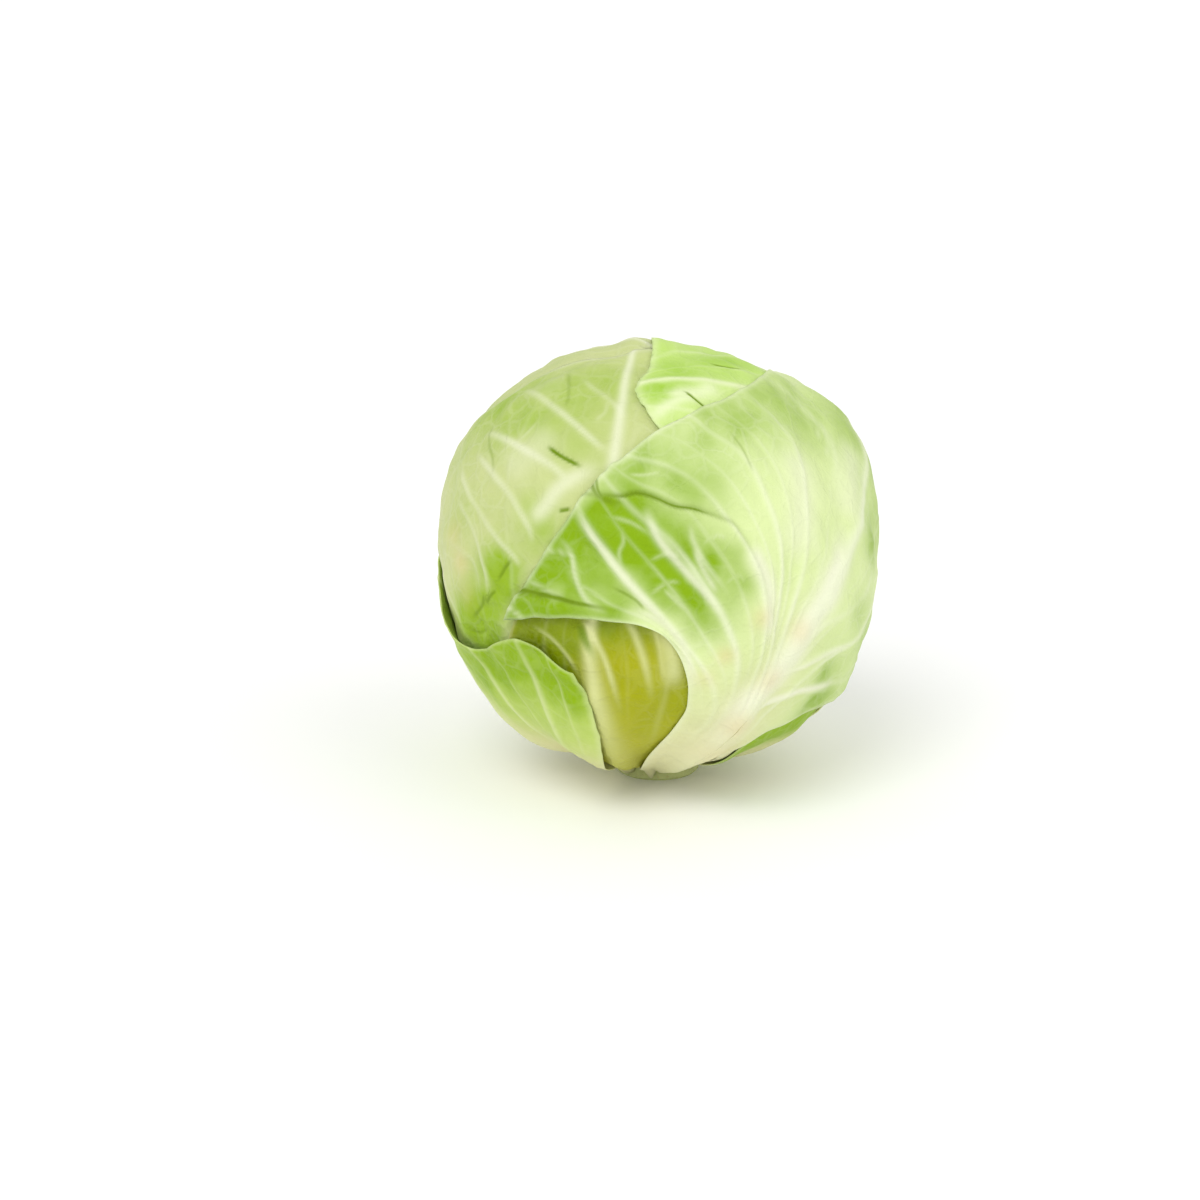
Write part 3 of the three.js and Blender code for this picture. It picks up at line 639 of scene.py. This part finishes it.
# Margins that roll outwards over part of their length.
def rollHeight(leaf, u, v):
    roll = np.zeros(len(u))
    for height, reach, start, end in leaf.get("rolls", []):
        roll += height * partWay(u, start, end) * smooth(1 - reach, 1, v)
    for height, reach, start, end in leaf.get("leftRolls", []):
        roll += height * partWay(v, start, end) * (1 - smooth(0, reach, u))
    return roll


# The swelling between the veins, in units of half a millimetre. Waves are counted round the head.
puckers = {
    "calmEdge": 6,
    "swell": 1.2,
    "swellWaves": 26,
    "crinkle": 0.4,
    "crinkleWaves": 60,
    "young": 1.3,  # the young green part is puckered more
    "youngWaves": 44,
    "hollow": 1.8,
}


# The relief between the veins and how green each place is, less beside the veins and on the broad ribs.
def puckersAndGreen(leaf, dirs, v, edge, vein, halo, band):
    hollow = np.zeros(len(v))
    for lon, lat, width, depth in leaf.get("hollows", []):
        hollow += depth * np.exp(-(angle(dirs, lon, lat) / width) ** 2)
    calm = smooth(0, puckers["calmEdge"], edge)
    beyondFoot = smooth(0.1, 0.3, v)
    swell = puckers["swell"] * ripple(dirs, puckers["swellWaves"], 11)
    crinkle = puckers["crinkle"] * ripple(dirs, puckers["crinkleWaves"], 12)
    relief = swell * (1 - vein) * calm * beyondFoot
    relief += crinkle * (1 - vein) * calm * beyondFoot
    green = spotField(dirs, leaf.get("green", []))
    if "hollows" in leaf:
        relief += puckers["young"] * green * ripple(dirs, puckers["youngWaves"], 31) * (1 - halo) * calm
        relief -= puckers["hollow"] * hollow * (1 - halo)
        # A little greener in the hollows, as painted shade there, and unevenly green at random.
        green = green * (0.95 + 0.05 * hollow + 0.14 * ripple(dirs, 50, 32))
    return relief, np.clip(green * (1.25 - 0.4 * halo - 0.7 * band), 0, 1)


def finishMesh(mesh):
    bm = bmesh.new()
    bm.from_mesh(mesh)
    bmesh.ops.recalc_face_normals(bm, faces=bm.faces)
    for face in bm.faces:
        face.smooth = True
    bm.to_mesh(mesh)
    bm.free()


def makeLeaf(leaf, under):
    mesh = leafSlab(leaf)
    places = np.empty(len(mesh.vertices) * 3)
    mesh.vertices.foreach_get("co", places)
    places = places.reshape(-1, 3)
    u = np.clip(places[:, 0] + 0.5, 0, 1)
    v = np.clip(places[:, 1] + 0.5, 0, 1)
    outer = places[:, 2] > 0.5
    dirs = bladeDirection(leaf, *unevenMargins(leaf, u, v))
    mmAcross, edge = bladeMeasures(leaf, u, v)

    vein, veinHeight, halo = sideVeins(leaf, u, v, dirs, mmAcross)
    band = bandField(leaf, dirs)
    ribArc, ribWidth, ribHeight = nearestRib(leaf, dirs)
    rib = np.exp(-(ribArc / ribWidth) ** 2)
    fold, creaseShade = foldRelief(leaf, dirs)
    slitAcross, slitDepthAndShade = slitField(leaf, dirs)
    slit = slitDepthAndShade * np.maximum(1 - np.abs(slitAcross) / slitReach, 0)
    pucker, green = puckersAndGreen(leaf, dirs, v, edge, vein, halo, band)
    nearMargin = 1 - smooth(0, blade["waveEdge"], edge)
    wave = (0.35 + 0.45 * ripple(dirs, 30, 21)) * nearMargin * smooth(0.25, 0.45, v)

    thickness = head["margin"] + (head["blade"] - head["margin"]) * smooth(0, blade["thinEdge"], edge)
    low = seatRadius(under, dirs) + rollHeight(leaf, u, v) + np.maximum(wave, 0)
    high = low + thickness + ribHeight * rib + veinHeight + fold + 0.5 * pucker - 0.6 * slit + 0.7 * band
    places = dirs * np.where(outer, high, low)[:, None]
    places[:, 2] += head["centreHeight"]
    mesh.vertices.foreach_set("co", (places / 1000).ravel())
    finishMesh(mesh)

    for name, values in {
        "vein": np.clip(vein + 0.9 * rib * smooth(0, 0.6, v), 0, 1),
        "green": green,
        "cream": 1 - smooth(blade["creamFrom"], blade["creamTo"], v),
        "edge": 1 - smooth(0, blade["paleEdge"], edge),
        # painted shade in the creases of the pleats
        "creaseShade": np.clip(creaseShade, 0, 1),
        "slit": slitAcross,
        # how deep the slits are and how dark their painted shade is
        "slitDepthAndShade": slitDepthAndShade,
        # warm painted shade between the ribs
        "tan": spotField(dirs, leaf.get("tan", [])),
        "band": band,
    }.items():
        mesh.attributes.new(name, "FLOAT", "POINT").data.foreach_set("value", values.astype(np.float32))

    piece = bpy.data.objects.new(leaf["name"] + "_skin", mesh)
    bpy.context.collection.objects.link(piece)
    piece.data.materials.append(materials[leaf["colour"]])
    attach(piece, "root")
    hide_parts(leaf["name"])
    return piece


# Shader helpers
def link(tree, a, b):
    tree.links.new(a, b)


def mathNode(tree, operation, a, b=None, clamp=False):
    node = tree.nodes.new("ShaderNodeMath")
    node.operation = operation
    node.use_clamp = clamp
    for socket, value in zip(node.inputs, (a, b)):
        if value is None:
            continue
        if isinstance(value, (int, float)):
            socket.default_value = value
        else:
            link(tree, value, socket)
    return node.outputs[0]


def mixColour(tree, amount, a, b):
    node = tree.nodes.new("ShaderNodeMix")
    node.data_type = "RGBA"
    for socket, value in ((node.inputs[0], amount), (node.inputs[6], a), (node.inputs[7], b)):
        if isinstance(value, (int, float)):
            socket.default_value = value
        elif isinstance(value, tuple):
            socket.default_value = (*value, 1)
        else:
            link(tree, value, socket)
    return node.outputs[2]


def ramp(tree, value, low, high):
    node = tree.nodes.new("ShaderNodeMapRange")
    node.interpolation_type = "SMOOTHSTEP"
    node.inputs["From Min"].default_value = low
    node.inputs["From Max"].default_value = high
    link(tree, value, node.inputs["Value"])
    return node.outputs["Result"]


def noiseNode(tree, coordinates, scale, detail=3, roughness=0.5, distortion=0):
    node = tree.nodes.new("ShaderNodeTexNoise")
    node.inputs["Scale"].default_value = scale
    node.inputs["Detail"].default_value = detail
    node.inputs["Roughness"].default_value = roughness
    node.inputs["Distortion"].default_value = distortion
    link(tree, coordinates, node.inputs["Vector"])
    return node


def fromHex(text):
    values = [int(text[i:i + 2], 16) / 255 for i in (0, 2, 4)]
    return tuple(c / 12.92 if c <= 0.04045 else ((c + 0.055) / 1.055) ** 2.4 for c in values)


# The fine net of small veins in the blade, as a mask and a height.
def buildVeinNet():
    group = bpy.data.node_groups.new("leafVeinNet", "ShaderNodeTree")
    cellCount = group.interface.new_socket("Cells per metre", in_out="INPUT", socket_type="NodeSocketFloat")
    cellCount.default_value = 90
    for name in ("Net", "Height", "Mottle"):
        group.interface.new_socket(name, in_out="OUTPUT", socket_type="NodeSocketFloat")
    inputs = group.nodes.new("NodeGroupInput")
    outputs = group.nodes.new("NodeGroupOutput")
    coordinates = group.nodes.new("ShaderNodeTexCoord").outputs["Object"]
    bend = noiseNode(group, coordinates, 70, 2)
    offset = group.nodes.new("ShaderNodeVectorMath")
    offset.operation = "MULTIPLY_ADD"
    link(group, bend.outputs["Color"], offset.inputs[0])
    offset.inputs[1].default_value = (0.008, 0.008, 0.008)
    link(group, coordinates, offset.inputs[2])
    nets = []
    for finer, thin in ((1, 0.1), (2.7, 0.16)):
        cells = group.nodes.new("ShaderNodeTexVoronoi")
        cells.feature = "DISTANCE_TO_EDGE"
        link(group, offset.outputs[0], cells.inputs["Vector"])
        link(group, mathNode(group, "MULTIPLY", inputs.outputs[0], finer), cells.inputs["Scale"])
        nets.append(mathNode(group, "SUBTRACT", 1.0, ramp(group, cells.outputs["Distance"], 0, thin)))
    net = mathNode(group, "ADD", nets[0], mathNode(group, "MULTIPLY", nets[1], 0.4), clamp=True)
    patchy = ramp(group, noiseNode(group, coordinates, 22, 2).outputs["Fac"], 0.35, 0.65)
    link(group, mathNode(group, "MULTIPLY", net, patchy), outputs.inputs["Net"])
    grain = noiseNode(group, coordinates, 900, 2).outputs["Fac"]
    lumps = noiseNode(group, coordinates, 160, 3).outputs["Fac"]
    height = mathNode(group, "MULTIPLY", net, 0.18)
    height = mathNode(group, "ADD", height, mathNode(group, "MULTIPLY", lumps, 0.8))
    height = mathNode(group, "ADD", height, mathNode(group, "MULTIPLY", grain, 0.12))
    link(group, height, outputs.inputs["Height"])
    link(group, noiseNode(group, coordinates, 30, 4, 0.6).outputs["Fac"], outputs.inputs["Mottle"])
    return group


def newMaterial(name):
    material = bpy.data.materials.new(name)
    material.use_nodes = True
    tree = material.node_tree
    tree.nodes.clear()
    shader = tree.nodes.new("ShaderNodeBsdfPrincipled")
    output = tree.nodes.new("ShaderNodeOutputMaterial")
    link(tree, shader.outputs[0], output.inputs[0])
    return material, tree, shader


# pale and green are the blade's two ends of colour, cream is its foot, and base is how much the pale blade
# varies.
leafColours = {
    "frontLeaf": {
        "pale": "D9E8A6", "green": "84AA00", "vein": "E8EECB", "band": "F0EEDC",
        "cream": "E2DAB0", "creamAmount": 0.75, "base": 0.1, "net": 0.16,
    },
    "paleLeaf": {
        "pale": "C9D092", "green": "92B41C", "vein": "E4E8C6", "band": "E6E9CA",
        "cream": "E2DEAE", "creamAmount": 0.5, "base": 0.2, "net": 0.16,
    },
    "crownLeaf": {
        "pale": "CFE590", "green": "9CC638", "vein": "E4ECBE", "band": "ECF2CC",
        "cream": "E4E0B4", "creamAmount": 0.6, "base": 0.3, "net": 0.16,
    },
    "greenLeaf": {
        "pale": "C6DA74", "green": "8CB000", "vein": "E4EAB8", "band": "ECEFD0",
        "cream": "E8E0B4", "creamAmount": 0.8, "base": 0.3, "net": 0.12,
    },
    # The fold leaf's own yellow-green, made darker and more olive as painted shade for where it lies under
    # the front leaf's flap.
    "foldLeaf": {
        "pale": "A8AA00", "green": "829400", "vein": "DFE2A4", "band": "E2E6B0",
        "cream": "C4C04C", "creamAmount": 0.4, "base": 0.4, "net": 0.1,
    },
    "innerLeaf": {
        "pale": "DDE3A6", "green": "C0D070", "vein": "ECEED2", "band": "ECEED2",
        "cream": "E8E2BE", "creamAmount": 0.7, "base": 0.2, "net": 0.16,
    },
}
# The warm tan of painted shade between the ribs.
warmShadeColour = "DDBF86"
# The dark green of painted shade in creases and slits.
paintedShadeColour = "6F8C08"
leafFinish = {"specular": 0.18, "bump": 0.6, "bumpHeight": 0.0012}


def addBump(tree, shader, height, strength, distance):
    bump = tree.nodes.new("ShaderNodeBump")
    bump.inputs["Strength"].default_value = strength
    bump.inputs["Distance"].default_value = distance
    link(tree, height, bump.inputs["Height"])
    link(tree, bump.outputs[0], shader.inputs["Normal"])


def leafMaterial(name, look):
    material, tree, shader = newMaterial(name)
    netNode = tree.nodes.new("ShaderNodeGroup")
    netNode.node_tree = veinNet
    values = {}
    for key in ("vein", "green", "cream", "edge", "creaseShade", "tan", "band", "slit", "slitDepthAndShade"):
        node = tree.nodes.new("ShaderNodeAttribute")
        node.attribute_name = key
        values[key] = node.outputs["Fac"]
    mottle = ramp(tree, netNode.outputs["Mottle"], 0.3, 0.7)
    creamy = mathNode(tree, "MULTIPLY", values["cream"], look["creamAmount"])
    colour = mixColour(tree, creamy, fromHex(look["pale"]), fromHex(look["cream"]))
    blotch = mathNode(tree, "MULTIPLY", mottle, mathNode(tree, "SUBTRACT", 1.0, creamy))
    blotch = mathNode(tree, "MULTIPLY", blotch, look["base"])
    variation = mathNode(tree, "ADD", 0.85, mathNode(tree, "MULTIPLY", mottle, 0.3))
    varied = mathNode(tree, "MULTIPLY", values["green"], variation)
    amount = mathNode(tree, "ADD", varied, blotch, clamp=True)
    colour = mixColour(tree, amount, colour, fromHex(look["green"]))
    colour = mixColour(tree, values["band"], colour, fromHex(look["band"]))
    fineNet = mathNode(tree, "MULTIPLY", netNode.outputs["Net"], look["net"])
    pale = mathNode(tree, "MAXIMUM", values["vein"], fineNet)
    colour = mixColour(tree, mathNode(tree, "MULTIPLY", pale, 0.85), colour, fromHex(look["vein"]))
    colour = mixColour(tree, mathNode(tree, "MULTIPLY", values["edge"], 0.35), colour, fromHex(look["vein"]))
    # Warm painted shade between the ribs.
    colour = mixColour(tree, values["tan"], colour, fromHex(warmShadeColour))
    slit = ramp(tree, mathNode(tree, "ABSOLUTE", values["slit"]), 0.15, slitReach)
    slit = mathNode(tree, "SUBTRACT", 1.0, slit)
    slit = mathNode(tree, "MULTIPLY", slit, values["slitDepthAndShade"])
    # Painted shade: creases and slits are darkened towards a dark green.
    dark = mathNode(tree, "MAXIMUM", mathNode(tree, "MULTIPLY", values["creaseShade"], 0.8), slit)
    colour = mixColour(tree, dark, colour, fromHex(paintedShadeColour))
    link(tree, colour, shader.inputs["Base Color"])
    rough = mathNode(tree, "ADD", 0.4, mathNode(tree, "MULTIPLY", netNode.outputs["Mottle"], 0.2))
    link(tree, rough, shader.inputs["Roughness"])
    shader.inputs["Specular IOR Level"].default_value = leafFinish["specular"]
    addBump(tree, shader, netNode.outputs["Height"], leafFinish["bump"], leafFinish["bumpHeight"])
    return material


# The cut face: a pale pith with a darker ring inside a green rind, crossed by fibres.
stalkLook = {
    "rind": (0.0125, 0.016),
    "ringInner": (0.0095, 0.0115),
    "ringOuter": (0.0115, 0.0135),
    "wander": 0.006,
}


def stalkMaterial():
    material, tree, shader = newMaterial("stalkCut")
    coordinates = tree.nodes.new("ShaderNodeTexCoord").outputs["Object"]
    parts = tree.nodes.new("ShaderNodeSeparateXYZ")
    link(tree, coordinates, parts.inputs[0])
    squared = mathNode(tree, "ADD", mathNode(tree, "MULTIPLY", parts.outputs[0], parts.outputs[0]),
                       mathNode(tree, "MULTIPLY", parts.outputs[1], parts.outputs[1]))
    radius = mathNode(tree, "SQRT", squared)
    blur = noiseNode(tree, coordinates, 120, 4, 0.6).outputs["Fac"]
    wander = mathNode(tree, "MULTIPLY", mathNode(tree, "SUBTRACT", blur, 0.5), stalkLook["wander"])
    radius = mathNode(tree, "ADD", radius, wander)
    rind = ramp(tree, radius, *stalkLook["rind"])
    ring = mathNode(tree, "MULTIPLY", ramp(tree, radius, *stalkLook["ringInner"]),
                    mathNode(tree, "SUBTRACT", 1.0, ramp(tree, radius, *stalkLook["ringOuter"])))
    pith = mixColour(tree, blur, fromHex("EDE9CC"), fromHex("DDD6A8"))
    colour = mixColour(tree, mathNode(tree, "MULTIPLY", ring, 0.6), pith, fromHex("C9BC80"))
    colour = mixColour(tree, rind, colour, fromHex("C4CC86"))
    fibres = noiseNode(tree, coordinates, 700, 3).outputs["Fac"]
    lines = mathNode(tree, "MULTIPLY", ramp(tree, fibres, 0.55, 0.75), 0.35)
    colour = mixColour(tree, lines, colour, fromHex("B59C68"))
    link(tree, colour, shader.inputs["Base Color"])
    rough = mathNode(tree, "ADD", 0.5, mathNode(tree, "MULTIPLY", fibres, 0.3))
    link(tree, rough, shader.inputs["Roughness"])
    addBump(tree, shader, fibres, 0.6, 0.0008)
    return material


veinNet = buildVeinNet()
materials = {name: leafMaterial(name, look) for name, look in leafColours.items()}
materials["stalk"] = stalkMaterial()
materials["heart"] = leafMaterial("heartLeaves", leafColours["innerLeaf"])
print("materials made")

for node, name in (("stalk", "stalk"), ("heart", "heart")):
    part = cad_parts[node]
    for slot in part.material_slots:
        slot.material = materials[name]

allLeaves = [innerLeaf(i) for i in range(inner["count"])] + leaves
for leaf in allLeaves:
    prepareLeaf(leaf)
for i, leaf in enumerate(allLeaves):
    piece = makeLeaf(leaf, allLeaves[:i])
    print("leaf", leaf["name"], len(piece.data.polygons))

# Floor, light and camera
studio = {
    "floorColours": ("FFFFFF", "FBFBFA"),
    "floorSize": 40.0,
    "worldStrength": 0.76,
    # name, the direction that the light comes from, softness in degrees, strength
    "lamps": [
        ("keyLight", (-0.4, -0.8, 1.0), 35, 1.1),
        ("fillLight", (0.9, -0.6, 0.8), 50, 0.45),
    ],
}


def makeFloor():
    bm = bmesh.new()
    bmesh.ops.create_grid(bm, x_segments=1, y_segments=1, size=studio["floorSize"])
    mesh = bpy.data.meshes.new("floor")
    bm.to_mesh(mesh)
    bm.free()
    floor = bpy.data.objects.new("floor", mesh)
    bpy.context.collection.objects.link(floor)
    material, tree, shader = newMaterial("floorPaper")
    coordinates = tree.nodes.new("ShaderNodeTexCoord").outputs["Object"]
    grain = noiseNode(tree, coordinates, 3, 2).outputs["Fac"]
    paper = [fromHex(text) for text in studio["floorColours"]]
    link(tree, mixColour(tree, grain, *paper), shader.inputs["Base Color"])
    shader.inputs["Roughness"].default_value = 0.9
    shader.inputs["Specular IOR Level"].default_value = 0.1
    mesh.materials.append(material)


def makeLamps():
    for name, place, softness, strength in studio["lamps"]:
        data = bpy.data.lights.new(name, "SUN")
        data.angle = math.radians(softness)
        data.energy = strength
        lamp = bpy.data.objects.new(name, data)
        lamp.location = place
        lamp.rotation_euler = (-Vector(place)).to_track_quat("-Z", "Y").to_euler()
        bpy.context.collection.objects.link(lamp)
    world = bpy.data.worlds.new("studioWorld")
    world.use_nodes = True
    world.node_tree.nodes["Background"].inputs[0].default_value = (1, 1, 1, 1)
    world.node_tree.nodes["Background"].inputs[1].default_value = studio["worldStrength"]
    bpy.context.scene.world = world


camera = {
    "place": (0, -1.10303, 0.38456),
    "look": (-0.02046405, 0.96178208, -0.27305028),
    "lens": 85,
    "sensor": 36,
    "far": 100,
}


def makeCamera():
    data = bpy.data.cameras.new("camera")
    data.lens = camera["lens"]
    data.sensor_width = camera["sensor"]
    data.sensor_fit = "HORIZONTAL"
    data.clip_end = camera["far"]
    view = bpy.data.objects.new("camera", data)
    view.location = camera["place"]
    view.rotation_euler = Vector(camera["look"]).to_track_quat("-Z", "Y").to_euler()
    bpy.context.collection.objects.link(view)
    bpy.context.scene.camera = view


makeFloor()
makeLamps()
makeCamera()
bpy.context.scene.view_settings.view_transform = "Standard"
print("studio made")
